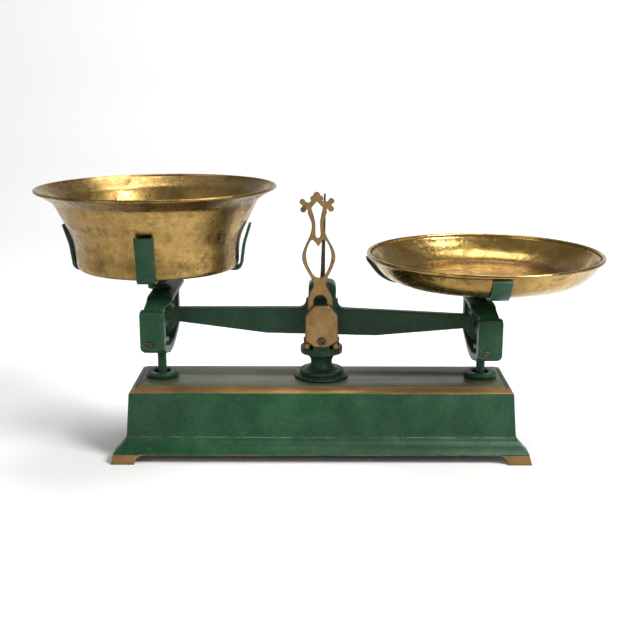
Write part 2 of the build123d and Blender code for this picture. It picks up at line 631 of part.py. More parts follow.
def end_knife(side):
    """Edge up, carrying the two bearings of one carrier."""
    return Pos(side * ARM, 0, 0) * plate_xz(knife_outline(END_KNIFE_Z, up=True), 2 * (BOX_OUTER_Y - 0.5))


def needle_screw_z():
    return (NEEDLE_FOOT_Z[0] + NEEDLE_FOOT_Z[1]) / 2


def pointer_needle():
    """Flat pointer on the front of the hub."""
    low, high = NEEDLE_FOOT_Z
    outline = mirrored([
        (6.5, low), (6.5, high - 4), (2.4, high + 3), (2.0, high + 11),
        (0.85, NEEDLE_TIP_Z - 1), (0.4, NEEDLE_TIP_Z),
    ])
    face_y = CHEEK_INNER_Y - HUB_SIDE_GAP
    needle = plate_xz(outline, NEEDLE_THICKNESS, -(face_y + NEEDLE_THICKNESS / 2))
    for x in (-NEEDLE_SCREW_X, NEEDLE_SCREW_X):
        needle -= rod_y(NEEDLE_SCREW_RADIUS, -60, 0, x, needle_screw_z())
    return needle


def needle_screws():
    seat = CHEEK_INNER_Y - HUB_SIDE_GAP + NEEDLE_THICKNESS
    screws = []
    for x in (-NEEDLE_SCREW_X, NEEDLE_SCREW_X):
        screw = facing(-1) * slotted_screw(2.1, 1.3, NEEDLE_SCREW_RADIUS, NEEDLE_THICKNESS + 4, 30 * x)
        screws.append(Pos(x, -seat, needle_screw_z()) * screw)
    return screws


# ---- carriers, drawn about the end knife with the middle of the scale on +X ---------------------------------

def round_topped(points, radius):
    """Face whose half outline ends in a square top corner, rounded to a radius."""
    face = make_face(Polyline(*mirrored(points), close=True))
    return fillet(face.vertices().group_by(Axis.Y)[-1], radius)


def stirrup():
    """Closed ring round the beam end: arch on top, a bearing box front and back, and a bridge with a boss."""
    low, high = BOX_Z
    roof = ARCH_TOP_Z - ARCH_THICKNESS
    outer = round_topped([
        (STEM_BOSS_RADIUS, BRIDGE_Z[0]), (BOX_INNER_Y - 4, low - 5.5),
        (BOX_OUTER_Y, low), (BOX_OUTER_Y, ARCH_TOP_Z),
    ], ARCH_RADIUS)
    inner = round_topped([
        (STEM_BOSS_RADIUS + 3, BRIDGE_Z[1]), (BOX_INNER_Y, low + 2.5), (BOX_INNER_Y, roof),
    ], ARCH_RADIUS - ARCH_THICKNESS)
    ring = extrude(Plane.YZ * (outer - inner), amount=2 * ARCH_X[1], both=True)
    eave = ARCH_TOP_Z - 4
    above = ARCH_TOP_Z + 1
    front = [
        (-STEM_BOSS_RADIUS, BRIDGE_Z[0] - 1), (STEM_BOSS_RADIUS, BRIDGE_Z[0] - 1),
        (BOX_HALF_WIDTH, low), (BOX_HALF_WIDTH, high), (LEG_HALF_WIDTH, high),
        (ARCH_X[1], eave), (ARCH_X[1], above), (ARCH_X[0], above), (ARCH_X[0], eave),
        (-LEG_HALF_WIDTH, high), (-BOX_HALF_WIDTH, high), (-BOX_HALF_WIDTH, low),
    ]
    ring = ring & plate_xz(front, 200)
    half = END_POCKET_HALF_WIDTH
    for y_side in (-1, 1):
        through = sorted((y_side * (BOX_INNER_Y - 9), y_side * (BOX_OUTER_Y + 9)))
        ring -= block((-half, half), through, END_POCKET)
    ring -= rod_z(STEM_THREAD_RADIUS, BRIDGE_Z[0] - 1, BRIDGE_Z[1] + 1)
    return ring - rod_z(CROSS_SCREW_RADIUS, roof - 1, ARCH_TOP_Z + 1)


def end_bearing(y_side):
    """V block above the knife end."""
    thickness = BOX_OUTER_Y - BOX_INNER_Y - 2 * SEAT_GAP
    half = END_POCKET_HALF_WIDTH - SEAT_GAP
    bearing = vee_block(END_KNIFE_Z, END_POCKET[1], half, thickness, up=True)
    return Pos(0, y_side * (BOX_INNER_Y + BOX_OUTER_Y) / 2, 0) * bearing


def end_cover(y_side, screw_x):
    """Crowned plate that closes a bearing box."""
    low, high = BOX_Z
    half = BOX_HALF_WIDTH
    outline = Line((half, low + COVER_CROWN), (half, high - COVER_CROWN))
    outline += ThreePointArc((half, high - COVER_CROWN), (0, high), (-half, high - COVER_CROWN))
    outline += Line((-half, high - COVER_CROWN), (-half, low + COVER_CROWN))
    outline += ThreePointArc((-half, low + COVER_CROWN), (0, low), (half, low + COVER_CROWN))
    face = make_face(outline)
    face = fillet(face.vertices(), 1.2)
    cover = extrude(Plane.XZ * face, amount=COVER_THICKNESS / 2, both=True)
    cover = Pos(0, y_side * (BOX_OUTER_Y + COVER_THICKNESS / 2), 0) * cover
    return cover - rod_y(COVER_SCREW_RADIUS, y_side * BOX_INNER_Y, y_side * 70, screw_x, COVER_SCREW_Z)


def cover_screws(screw_x):
    screws = []
    for y_side in (-1, 1):
        length = COVER_THICKNESS + 5
        screw = facing(y_side) * slotted_screw(COVER_SCREW_HEAD, 1.2, COVER_SCREW_RADIUS, length, 25)
        screws.append(Pos(screw_x, y_side * (BOX_OUTER_Y + COVER_THICKNESS), COVER_SCREW_Z) * screw)
    return screws


def cover_screw_holes(screw_x):
    holes = rod_y(COVER_SCREW_RADIUS, -BOX_OUTER_Y - 1, -BOX_OUTER_Y + 5, screw_x, COVER_SCREW_Z)
    return holes + rod_y(COVER_SCREW_RADIUS, BOX_OUTER_Y - 5, BOX_OUTER_Y + 1, screw_x, COVER_SCREW_Z)


def stem():
    """Rod from the bridge down through the base top, with a forked foot for the stay."""
    rod = rod_z(STEM_RADIUS, STEM_PIN_Z + FORK_TOP, BRIDGE_Z[0])
    rod += rod_z(STEM_THREAD_RADIUS, BRIDGE_Z[0] - 2, BRIDGE_Z[1] + NUT_HEIGHT + 0.8)
    fork = rod_z(FORK_RADIUS, STEM_PIN_Z - FORK_BOTTOM, STEM_PIN_Z + FORK_TOP)
    fork -= block((-20, 20), (-FORK_SLOT / 2, FORK_SLOT / 2), (0, STEM_PIN_Z + FORK_TOP - 4))
    return rod + fork - rod_y(PIN_RADIUS, -20, 20, z=STEM_PIN_Z)


def stem_nut():
    nut = extrude(RegularPolygon(NUT_RADIUS, 6), NUT_HEIGHT)
    return Pos(0, 0, BRIDGE_Z[1]) * nut - rod_z(STEM_THREAD_RADIUS, 0, ARCH_TOP_Z)


def stem_pin():
    return rod_y(PIN_RADIUS, -FORK_RADIUS + 0.6, FORK_RADIUS - 0.6, z=STEM_PIN_Z)


def tare_weight(height):
    return rod_z(TARE_RADIUS, TARE_Z, TARE_Z + height) - rod_z(STEM_RADIUS, 0, BASE_HEIGHT)


def left_arm_path():
    """Underside of one arm, from past the middle to its tip beside the bowl."""
    bend = BOWL_FOOT_RADIUS + BOWL_ARM_GAP + STRIP_THICKNESS
    z = LEFT_CROSS_Z
    knee, tip = [(bend + out, z + rise) for out, rise in (BOWL_ARM_KNEE, BOWL_ARM_TIP)]
    return [(-10, z), (bend, z), knee, tip], [BOWL_ARM_BEND, 6 * BOWL_ARM_BEND]


def right_arm_path():
    """Underside of one arm, following the outside of the pan."""
    bend = PAN_CORNER_RADIUS + STRIP_THICKNESS + PAN_ARM_GAP
    tip = (PAN_RIM_RADIUS - PAN_ARM_TIP_IN, PAN_RIM_Z - PAN_ARM_TIP_DOWN)
    return [(-10, RIGHT_CROSS_Z), (bend, RIGHT_CROSS_Z), tip], [PAN_CORNER_FILLET + STRIP_THICKNESS]


def cross_strip(path, axis_y, notch_below):
    """Bent strip with both ends turned up and a half-lap notch at its middle."""
    points, radii = path
    half = make_face(Plane.XZ * sheet_section(points, radii, STRIP_THICKNESS)).face()
    arm = extrude(half, amount=STRIP_WIDTH / 2, both=True)
    strip = arm + mirror(arm, about=Plane.YZ)
    middle = points[0][1] + STRIP_THICKNESS / 2
    reach = STRIP_WIDTH / 2 + SEAT_GAP
    limits = (middle - 20, middle) if notch_below else (middle, middle + 20)
    strip -= block((-reach, reach), (-20, 20), limits)
    if axis_y:
        strip = Rot(0, 0, 90) * strip
    return strip - rod_z(CROSS_SCREW_RADIUS, 0, 400) - countersink(middle + STRIP_THICKNESS / 2)


def countersink(top):
    """Conical head of the cross screw, flush with the strip's top."""
    wide = CROSS_SCREW_RADIUS + COUNTERSINK_DEPTH
    return Pos(0, 0, top - COUNTERSINK_DEPTH / 2) * Cone(CROSS_SCREW_RADIUS, wide, COUNTERSINK_DEPTH)


def cross_post(cross_z):
    """Round pad between arch and cross."""
    post = rod_z(POST_RADIUS, ARCH_TOP_Z, cross_z) + rod_z(POST_FLANGE_RADIUS, ARCH_TOP_Z, ARCH_TOP_Z + 3)
    return post - rod_z(CROSS_SCREW_RADIUS, 0, 400)


def cross_screw(cross_z):
    """Countersunk screw through cross, post and arch."""
    top = cross_z + STRIP_THICKNESS
    shank = rod_z(CROSS_SCREW_RADIUS, ARCH_TOP_Z - ARCH_THICKNESS - 2, top - COUNTERSINK_DEPTH)
    return countersink(top) + shank - block((-20, 20), (-0.6, 0.6), (top - 1.1, top + 5))


# ---- stay ---------------------------------------------------------------------------------------------------

def stay_lever():
    """Lower lever: a flat bar with an eye at each end and a bushed hole at the middle."""
    root = STAY_ROOT_HEIGHT / 2
    tip = STAY_TIP_HEIGHT / 2
    bar = plate_xz(mirrored([
        (14, STAY_Z - root), (ARM, STEM_PIN_Z - tip), (ARM, STEM_PIN_Z + tip), (14, STAY_Z + root),
    ]), STAY_THICKNESS)
    for x in (-ARM, ARM):
        bar += rod_y(STAY_EYE_RADIUS, -STAY_THICKNESS / 2, STAY_THICKNESS / 2, x, STEM_PIN_Z)
    for x in (-ARM, ARM):
        bar -= rod_y(PIN_RADIUS + RUNNING_GAP, -20, 20, x, STEM_PIN_Z)
    return bar - rod_y(STAY_BUSH_RADIUS, -20, 20, z=STAY_Z)


def stay_bush():
    reach = HANGER_CHEEK_Y - 0.2
    bush = rod_y(STAY_BUSH_RADIUS, -reach, reach, z=STAY_Z)
    return bush - rod_y(STAY_PIN_RADIUS + RUNNING_GAP, -20, 20, z=STAY_Z)


# ---- pans ---------------------------------------------------------------------------------------------------

def rimmed_dish(points, radii, wall, bead):
    """Spun dish: revolved sheet with a wired rim."""
    section = sheet_section(points, radii, wall)
    rim_x, rim_z = points[-1]
    section += Pos(rim_x, rim_z) * Circle(bead)
    half_plane = Pos(500, 0) * Rectangle(1000, 2000)
    return revolve(Plane.XZ * (section & half_plane), Axis.Z)


def left_bowl():
    floor = LEFT_CROSS_Z + STRIP_THICKNESS + PAN_SEAT_GAP
    points = [
        (0, floor), (BOWL_FOOT_RADIUS, floor), (BOWL_FOOT_RADIUS + 0.4, BOWL_WAIST_Z),
        (BOWL_FLARE_RADIUS, BOWL_FLARE_Z), (BOWL_RIM_RADIUS - BOWL_BEAD, BOWL_RIM_Z),
    ]
    return rimmed_dish(points, BOWL_BENDS, BOWL_WALL, BOWL_BEAD)


def right_pan():
    floor = RIGHT_CROSS_Z + STRIP_THICKNESS + PAN_SEAT_GAP
    points = [(0, floor), (PAN_CORNER_RADIUS, floor), (PAN_RIM_RADIUS - PAN_BEAD, PAN_RIM_Z)]
    return rimmed_dish(points, [PAN_CORNER_FILLET], PAN_WALL, PAN_BEAD)


# ---- assembly -----------------------------------------------------------------------------------------------

def solids_of(piece):
    """A piece is one shape or a list of equal fasteners."""
    return [solid for shape in (piece if isinstance(piece, list) else [piece]) for solid in shape.solids()]


def moved(location, piece):
    return Compound(children=[location * solid for solid in solids_of(piece)])


def volume(piece):
    return sum(solid.volume for solid in solids_of(piece))


def turned_about(z):
    """Location that turns a level piece by the rest tilt about a pivot at height z."""
    return Pos(0, 0, z) * Rot(0, REST_TILT, 0) * Pos(0, 0, -z)


def carrier_place(side):
    """How far a carrier moves from its level place: its knife swings with the beam and it stays upright."""
    tilt = radians(REST_TILT)
    x = side * ARM * cos(tilt) - END_KNIFE_DROP * sin(tilt)
    z = -side * ARM * sin(tilt) - END_KNIFE_DROP * cos(tilt) + END_KNIFE_DROP
    return Pos(x, 0, z)


def carrier(side):
    """Every piece of one carrier except its tare weight, each with its density."""
    cross_z = LEFT_CROSS_Z if side == LEFT else RIGHT_CROSS_Z
    path = left_arm_path() if side == LEFT else right_arm_path()
    screw_x = COVER_SCREW_X * -side
    pieces = {
        "stirrup": (stirrup() - cover_screw_holes(screw_x), IRON),
        "front_bearing": (end_bearing(-1), STEEL),
        "back_bearing": (end_bearing(1), STEEL),
        "front_cover": (end_cover(-1, screw_x), STEEL),
        "back_cover": (end_cover(1, screw_x), STEEL),
        "cover_screws": (cover_screws(screw_x), STEEL),
        "stem": (stem(), STEEL),
        "stem_nut": (stem_nut(), STEEL),
        "stem_pin": (stem_pin(), STEEL),
        "cross_long": (cross_strip(path, axis_y=False, notch_below=True), STEEL),
        "cross_short": (cross_strip(path, axis_y=True, notch_below=False), STEEL),
        "cross_post": (cross_post(cross_z), IRON),
        "cross_screw": (cross_screw(cross_z), STEEL),
    }
    if side == RIGHT:
        pieces = {
            name: ([mirror(solid, about=Plane.YZ) for solid in solids_of(piece)], density)
            for name, (piece, density) in pieces.items()
        }
    return pieces


def mass(pieces):
    return sum(volume(piece) * density for piece, density in pieces)


def build():
    """All nodes by name, in their rest places."""
    nodes = {
        "base_casting": base_casting(),
        "left_collar": collar(LEFT),
        "right_collar": collar(RIGHT),
        "column": column(),
        "column_bolt": column_bolt(),
        "bearing_bracket": bearing_bracket(),
        "bracket_screws": bracket_screws(),
        "front_centre_bearing": centre_bearing(-1),
        "back_centre_bearing": centre_bearing(1),
        "front_centre_plate": centre_plate(-1),
        "back_centre_plate": centre_plate(1),
        "centre_plate_screws": centre_plate_screws(),
        "pointer_frame": pointer_frame(),
        "stay_hanger": stay_hanger(),
        "hanger_screws": hanger_screws(),
        "stay_pivot_pin": stay_pivot_pin(),
    }

    beam = {
        "beam_casting": (beam_casting(), IRON),
        "centre_knife": (centre_knife(), STEEL),
        "left_end_knife": (end_knife(LEFT), STEEL),
        "right_end_knife": (end_knife(RIGHT), STEEL),
        "pointer_needle": (pointer_needle(), STEEL),
        "needle_screws": (needle_screws(), STEEL),
    }
    for name, (piece, density) in beam.items():
        nodes[name] = moved(turned_about(KNIFE_Z), piece)
    for name, piece in (("stay_lever", stay_lever()), ("stay_bush", stay_bush())):
        nodes[name] = moved(turned_about(STAY_Z), piece)

    pans = {LEFT: left_bowl(), RIGHT: right_pan()}
    carriers = {side: carrier(side) for side in (LEFT, RIGHT)}
    masses = {side: mass(carriers[side].values()) + volume(pans[side]) * BRASS for side in (LEFT, RIGHT)}
    heights = tare_heights(beam.values(), masses)
    for side, word in ((LEFT, "left"), (RIGHT, "right")):
        place = carrier_place(side)
        for name, (piece, density) in carriers[side].items():
            nodes[word + "_" + name] = moved(place, piece)
        nodes[word + "_tare_weight"] = moved(place, tare_weight(heights[side]))
    nodes["left_bowl"] = moved(carrier_place(LEFT), pans[LEFT])
    nodes["right_pan"] = moved(carrier_place(RIGHT), pans[RIGHT])
    return nodes


def tare_heights(beam, masses):
    """Tare weight of each side, so that the empty scale balances at its rest tilt."""
    beam_moment_z = 0.0
    beam_moment_x = 0.0
    for piece, density in beam:
        for solid in solids_of(piece):
            centre = solid.center(CenterOf.MASS)
            beam_moment_z += solid.volume * density * (KNIFE_Z - centre.Z)
            beam_moment_x += solid.volume * density * centre.X
    tare_area = pi * (TARE_RADIUS ** 2 - STEM_RADIUS ** 2)
    tare_mass = tare_area * TARE_HEIGHT * STEEL
    hanging = masses[LEFT] + masses[RIGHT] + 2 * tare_mass
    depth = beam_moment_z + hanging * END_KNIFE_DROP
    excess = depth * tan(radians(REST_TILT)) - beam_moment_x
    short = excess / ARM + masses[LEFT] - masses[RIGHT]
    extra = abs(short) / (tare_area * STEEL)
    light = RIGHT if short > 0 else LEFT
    return {light: TARE_HEIGHT + extra, -light: TARE_HEIGHT}


def main():
    os.makedirs("parts", exist_ok=True)
    for name, piece in build().items():
        shape = Compound(children=solids_of(piece))
        export_step(shape, "parts/" + name + ".step")


main()
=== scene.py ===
import json
import math

import bmesh
import bpy
from mathutils import Matrix, Vector, noise


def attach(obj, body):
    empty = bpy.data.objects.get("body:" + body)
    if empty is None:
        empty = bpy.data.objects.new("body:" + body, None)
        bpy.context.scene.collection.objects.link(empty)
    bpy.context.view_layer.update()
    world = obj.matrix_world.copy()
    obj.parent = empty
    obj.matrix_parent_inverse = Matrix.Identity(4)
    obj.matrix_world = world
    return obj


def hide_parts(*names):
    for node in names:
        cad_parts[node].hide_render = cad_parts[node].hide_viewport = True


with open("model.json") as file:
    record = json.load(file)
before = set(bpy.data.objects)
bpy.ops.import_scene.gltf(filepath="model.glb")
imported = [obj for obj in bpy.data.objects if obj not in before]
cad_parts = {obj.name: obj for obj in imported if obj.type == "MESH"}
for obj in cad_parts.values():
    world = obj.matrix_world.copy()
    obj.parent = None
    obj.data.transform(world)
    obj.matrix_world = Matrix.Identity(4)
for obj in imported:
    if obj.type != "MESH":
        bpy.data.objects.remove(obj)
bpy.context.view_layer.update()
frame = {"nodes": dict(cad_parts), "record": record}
nodes = frame["nodes"]
record = frame["record"]
body_of = {name: body for body, names in record["behaviour"]["bodies"].items() for name in names}
slot_of = {part["node"]: part["material_slot"] for part in record["subparts"]}
collection = bpy.context.scene.collection

MM = 0.001
EDGE_SAMPLES = 6  # rays with which a finish looks for edges and hollows

# linkage, as in the CAD
ARM = 148.0
END_KNIFE_DROP = 3.0
REST_TILT = math.radians(1.35)


def carrier_place(side):
    """How far a carrier is from its level place, in millimetres, with its own axis as origin."""
    x = side * ARM * math.cos(REST_TILT) - END_KNIFE_DROP * math.sin(REST_TILT)
    z = -side * ARM * math.sin(REST_TILT) - END_KNIFE_DROP * math.cos(REST_TILT) + END_KNIFE_DROP
    return Vector((x, 0, z))


# ---- shader helpers ---------------------------------------------------------------------------------------

class Shader:
    """A material's node tree, with short names for the nodes that the finishes use. Lengths are in metres."""

    def __init__(self, name):
        self.material = bpy.data.materials.new(name)
        self.material.use_nodes = True
        self.tree = self.material.node_tree
        self.surface = self.tree.nodes["Principled BSDF"]
        self.place = self.add("ShaderNodeTexCoord").outputs["Object"]
        geometry = self.add("ShaderNodeNewGeometry")
        self.normal = geometry.outputs["Normal"]
        self.ridges = geometry.outputs["Pointiness"]

    def add(self, kind, values=(), **settings):
        node = self.tree.nodes.new(kind)
        for key, value in settings.items():
            setattr(node, key, value)
        for key, value in dict(values).items():
            self.put(node.inputs[key], value)
        return node

    def put(self, socket, value):
        if isinstance(value, bpy.types.NodeSocket):
            self.tree.links.new(value, socket)
        elif isinstance(value, tuple) and len(value) == 3 and len(socket.default_value) == 4:
            socket.default_value = (*value, 1)
        else:
            socket.default_value = value

    def math(self, operation, a, b=0.0, c=0.0):
        return self.add("ShaderNodeMath", {0: a, 1: b, 2: c}, operation=operation).outputs[0]

    def times(self, *values):
        total = values[0]
        for value in values[1:]:
            total = self.math("MULTIPLY", total, value)
        return total

    def most(self, *values):
        total = values[0]
        for value in values[1:]:
            total = self.math("MAXIMUM", total, value)
        return total

    def ramp(self, value, low, high, start=0.0, end=1.0):
        """Smooth step from start at low to end at high."""
        values = {"Value": value, "From Min": low, "From Max": high, "To Min": start, "To Max": end}
        return self.add("ShaderNodeMapRange", values, interpolation_type="SMOOTHSTEP").outputs["Result"]

    def stretched(self, scale):
        """The piece's own coordinates, scaled along each axis."""
        return self.add("ShaderNodeMapping", {"Vector": self.place, "Scale": scale}).outputs["Vector"]

    def noise(self, scale, detail=4.0, roughness=0.55, where=None, warp=0.0):
        values = {"Vector": where or self.place, "Scale": scale, "Detail": detail, "Roughness": roughness,
                  "Distortion": warp}
        return self.add("ShaderNodeTexNoise", values).outputs["Fac"]

    def cells(self, scale):
        """Distance to the nearest point of a random pattern."""
        return self.add("ShaderNodeTexVoronoi", {"Vector": self.place, "Scale": scale}).outputs["Distance"]

    def parts(self, vector):
        """The X, Y and Z of a vector."""
        outputs = self.add("ShaderNodeSeparateXYZ", {0: vector}).outputs
        return outputs["X"], outputs["Y"], outputs["Z"]

    def mix(self, share, a, b):
        node = self.add("ShaderNodeMix", data_type="RGBA")
        for index, value in ((0, share), (6, a), (7, b)):
            self.put(node.inputs[index], value)
        return node.outputs[2]

    def blend(self, share, a, b):
        """From a to b, for plain numbers."""
        return self.math("MULTIPLY_ADD", share, self.math("SUBTRACT", b, a), a)

    def edges(self, radius, start=0.99, full=0.86):
        """1 near edges and 0 on open faces."""
        soft = self.add("ShaderNodeBevel", {"Radius": radius}, samples=EDGE_SAMPLES).outputs["Normal"]
        dot = self.add("ShaderNodeVectorMath", {0: soft, 1: self.normal}, operation="DOT_PRODUCT")
        return self.ramp(dot.outputs["Value"], start, full)

    def hollows(self, distance):
        """1 deep in corners and 0 on open faces."""
        openness = self.add("ShaderNodeAmbientOcclusion", {"Distance": distance}, samples=EDGE_SAMPLES)
        return self.ramp(openness.outputs["AO"], 0.85, 0.35)

    def bumps(self, *layers):
        """Stacks height layers, each (height socket, depth in metres)."""
        normal = None
        for height, depth in layers:
            values = {"Height": height, "Distance": depth, "Strength": 1.0}
            if normal:
                values["Normal"] = normal
            normal = self.add("ShaderNodeBump", values).outputs["Normal"]
        self.put(self.surface.inputs["Normal"], normal)

    def set(self, **values):
        for key, value in values.items():
            self.put(self.surface.inputs[key.replace("_", " ")], value)
        return self.material


# ---- finishes ---------------------------------------------------------------------------------------------

GREEN = (0.010, 0.058, 0.022)
GREEN_DEEP = (0.004, 0.024, 0.010)
GREEN_PALE = (0.020, 0.080, 0.034)
GRIME = (0.012, 0.014, 0.009)
# pale rubbed paint, and the colour of the painted highlight along the base's crease
RUBBED_AND_HIGHLIGHT = (0.230, 0.240, 0.190)
# the top's colour: dust, and painted sheen
DUST_AND_SHEEN = (0.085, 0.084, 0.050)
BRONZE = (0.270, 0.165, 0.058)
BRONZE_WORN = (0.200, 0.118, 0.042)
BRONZE_PAINT = (0.190, 0.110, 0.038)
BRONZE_DARK = (0.065, 0.034, 0.013)
BRONZE_GRIME = (0.020, 0.012, 0.006)
RUST = (0.11, 0.045, 0.018)
PIT = (0.035, 0.022, 0.009)
BRASS_GRIME = (0.06, 0.035, 0.012)
BOWL_TONES = ((0.38, 0.245, 0.082), (0.20, 0.122, 0.038), (0.055, 0.030, 0.010))  # light, middle and brown
PAN_TONES = ((0.46, 0.305, 0.098), (0.28, 0.170, 0.048), (0.110, 0.060, 0.017))
GREY_STEEL = ((0.34, 0.33, 0.31), (0.17, 0.16, 0.15))
BROWN_STEEL = ((0.105, 0.070, 0.042), (0.045, 0.028, 0.016))
BLACK_STEEL = ((0.075, 0.055, 0.040), (0.035, 0.026, 0.020))
WHITE = (0.93, 0.93, 0.93)


def shaded(color, share):
    """The colour made darker or lighter."""
    return tuple(channel * share for channel in color)


def enamel(name, share=1.0, extra=None, dense=False):
    """Old green enamel: mottled, grimy in the corners and rubbed to pale metal along the edges.

    dense is for finely meshed castings, whose rounded ridges can be found from the mesh."""
    s = Shader(name)
    # share darkens the whole copy: partly darker paint, partly painted shade
    green, deep, pale = (shaded(color, share) for color in (GREEN, GREEN_DEEP, GREEN_PALE))
    mottle = s.ramp(s.noise(42, 5), 0.38, 0.66)
    cloud = s.ramp(s.noise(13, 3), 0.35, 0.65)
    dark_grain = s.ramp(s.noise(330, 5, 0.7), 0.45, 0.70)
    pale_grain = s.ramp(s.noise(210, 5, 0.7), 0.55, 0.75)
    specks = s.times(s.ramp(s.cells(420), 0.10, 0.02), s.ramp(s.noise(60, 2), 0.52, 0.62))
    dirt = s.times(s.hollows(0.007), s.ramp(s.noise(90, 4), 0.2, 0.6, 0.6, 1.0))
    color = s.mix(mottle, green, pale)
    color = s.mix(s.times(cloud, 0.35), color, deep)
    color = s.mix(s.times(dark_grain, 0.55), color, deep)
    color = s.mix(s.times(pale_grain, 0.50), color, shaded(pale, 1.5))
    color = s.mix(s.times(specks, 0.7), color, RUBBED_AND_HIGHLIGHT)
    color = s.mix(s.times(dirt, 0.85), color, GRIME)
    worn = s.times(s.edges(0.0014), s.ramp(s.noise(150, 6, 0.7), 0.40, 0.56))
    chips = s.times(s.edges(0.0026), s.ramp(s.noise(240, 5, 0.7), 0.60, 0.66))
    bare = s.most(worn, chips)
    if dense:
        ridges = s.times(s.ramp(s.ridges, 0.535, 0.575), s.ramp(s.noise(120, 6, 0.7), 0.42, 0.58))
        bare = s.most(bare, ridges)
    color = s.mix(s.times(bare, 0.8), color, RUBBED_AND_HIGHLIGHT)
    rough = s.blend(s.noise(75, 5), 0.34, 0.58)
    rough = s.blend(bare, rough, 0.55)
    metal = s.times(bare, 0.5)
    if extra:
        color, rough, metal = extra(s, color, rough, metal)
    lumps = s.noise(85, 4)
    peel = s.noise(520, 3)
    s.bumps((lumps, 0.00022), (peel, 0.00005), (bare, -0.00006))
    return s.set(Base_Color=color, Roughness=rough, Metallic=metal, Specular_IOR_Level=0.24)


# where the base's paint changes, each from where a paint starts to where it is full
# where the top's dust and painted sheen start
DUST_AND_SHEEN_Z = (65.1 * MM, 65.9 * MM)
LINE_BOTTOM_Z = (61.7 * MM, 62.0 * MM)
LINE_TOP_Z = (66.15 * MM, 65.85 * MM)
LINE_SIDE_Y = (31.0 * MM, 31.4 * MM)
LINE_END_X = (174.5 * MM, 173.8 * MM)
FEET_Z = (8.5 * MM, 8.1 * MM)
# where the painted highlight along the crease runs
CREASE_Z = 21.6 * MM
CREASE_HALF_WIDTH = (0.32 * MM, 0.1 * MM)
BRUSH_WANDER = 1.8 * MM  # how far the painted borders stray


def base_paint(s, color, rough, metal):
    """Bronze lines on the long mouldings, bronze feet, a painted highlight along the crease, and a dusty top
    with painted sheen.
    """
    x, y, z = s.parts(s.place)
    up = s.parts(s.normal)[2]
    height = s.math("ADD", z, s.math("MULTIPLY_ADD", s.noise(55, 4), BRUSH_WANDER, -BRUSH_WANDER / 2))
    # dust and painted sheen: the upward faces of the top are made greyer and paler
    on_top = s.times(s.ramp(height, *DUST_AND_SHEEN_Z), s.ramp(up, 0.8, 0.97))
    dust_and_sheen = s.times(on_top, s.ramp(s.noise(24, 5), 0.25, 0.6, 0.45, 0.95))
    stain = s.times(s.ramp(s.noise(30, 5, 0.6, s.stretched((0.5, 1, 1))), 0.56, 0.68), dust_and_sheen)
    color = s.mix(dust_and_sheen, color, DUST_AND_SHEEN)
    color = s.mix(s.times(stain, 0.6), color, GRIME)
    rough = s.blend(dust_and_sheen, rough, 0.42)
    line = s.times(
        s.ramp(height, *LINE_BOTTOM_Z),
        s.ramp(z, *LINE_TOP_Z),
        s.ramp(s.math("ABSOLUTE", y), *LINE_SIDE_Y),
        s.ramp(s.math("ABSOLUTE", x), *LINE_END_X))
    feet = s.ramp(height, *FEET_Z)
    gilt = s.most(line, feet)
    worn = s.ramp(s.noise(110, 6, 0.7), 0.60, 0.72)
    tarnish = s.most(s.times(s.hollows(0.004), 0.9), s.times(worn, 0.75))
    bronze = s.mix(s.ramp(s.noise(35, 4), 0.3, 0.7), BRONZE, BRONZE_PAINT)
    bronze = s.mix(tarnish, bronze, BRONZE_DARK)
    color = s.mix(gilt, color, bronze)
    rough = s.blend(gilt, rough, 0.44)
    metal = s.blend(gilt, metal, 0.35)
    from_crease = s.math("ABSOLUTE", s.math("SUBTRACT", height, CREASE_Z))
    # painted highlight: a thin pale line along the crease where the skirt flares
    crease_highlight = s.times(s.ramp(from_crease, *CREASE_HALF_WIDTH), s.ramp(s.noise(70, 5, 0.7), 0.42, 0.60))
    color = s.mix(s.times(crease_highlight, 0.65), color, RUBBED_AND_HIGHLIGHT)
    return color, rough, metal


def old_bronze(name, dense=False):
    """Cast brass gone brown, with painted shade on the faces not turned to the front or back, and darker
    along its edges.
    """
    s = Shader(name)
    color = s.mix(s.ramp(s.noise(70, 5), 0.32, 0.68), BRONZE, BRONZE_WORN)
    specks = s.times(s.ramp(s.cells(260), 0.26, 0.12), s.ramp(s.noise(95, 3), 0.48, 0.58))
    blots = s.ramp(s.noise(150, 6, 0.7), 0.57, 0.66)
    color = s.mix(s.times(s.most(specks, blots), 0.75), color, BRONZE_DARK)
    # painted shade: faces not turned to the front or back are darkened; edges and, on dense meshes, ridges
    # are darkened too
    facing = s.math("ABSOLUTE", s.parts(s.normal)[1])
    side_shade_and_dark_edges = s.most(s.ramp(facing, 0.9, 0.55, 0.0, 0.85), s.edges(0.0013, 0.998, 0.93))
    if dense:
        side_shade_and_dark_edges = s.most(side_shade_and_dark_edges, s.ramp(s.ridges, 0.515, 0.55))
    color = s.mix(s.times(side_shade_and_dark_edges, s.ramp(s.noise(130, 4), 0.3, 0.55, 0.6, 0.95)), color, BRONZE_DARK)
    color = s.mix(s.times(s.hollows(0.005), 0.9), color, BRONZE_GRIME)
    rough = s.blend(s.noise(120, 5), 0.34, 0.58)
    s.bumps((s.noise(160, 5), 0.00016), (s.noise(700, 3), 0.00005))
    return s.set(Base_Color=color, Roughness=rough, Metallic=0.62)


SCRATCH_TURN = (0.5, 0.3, 0.9)
SCRATCH_SCALE = (9, 160, 60)


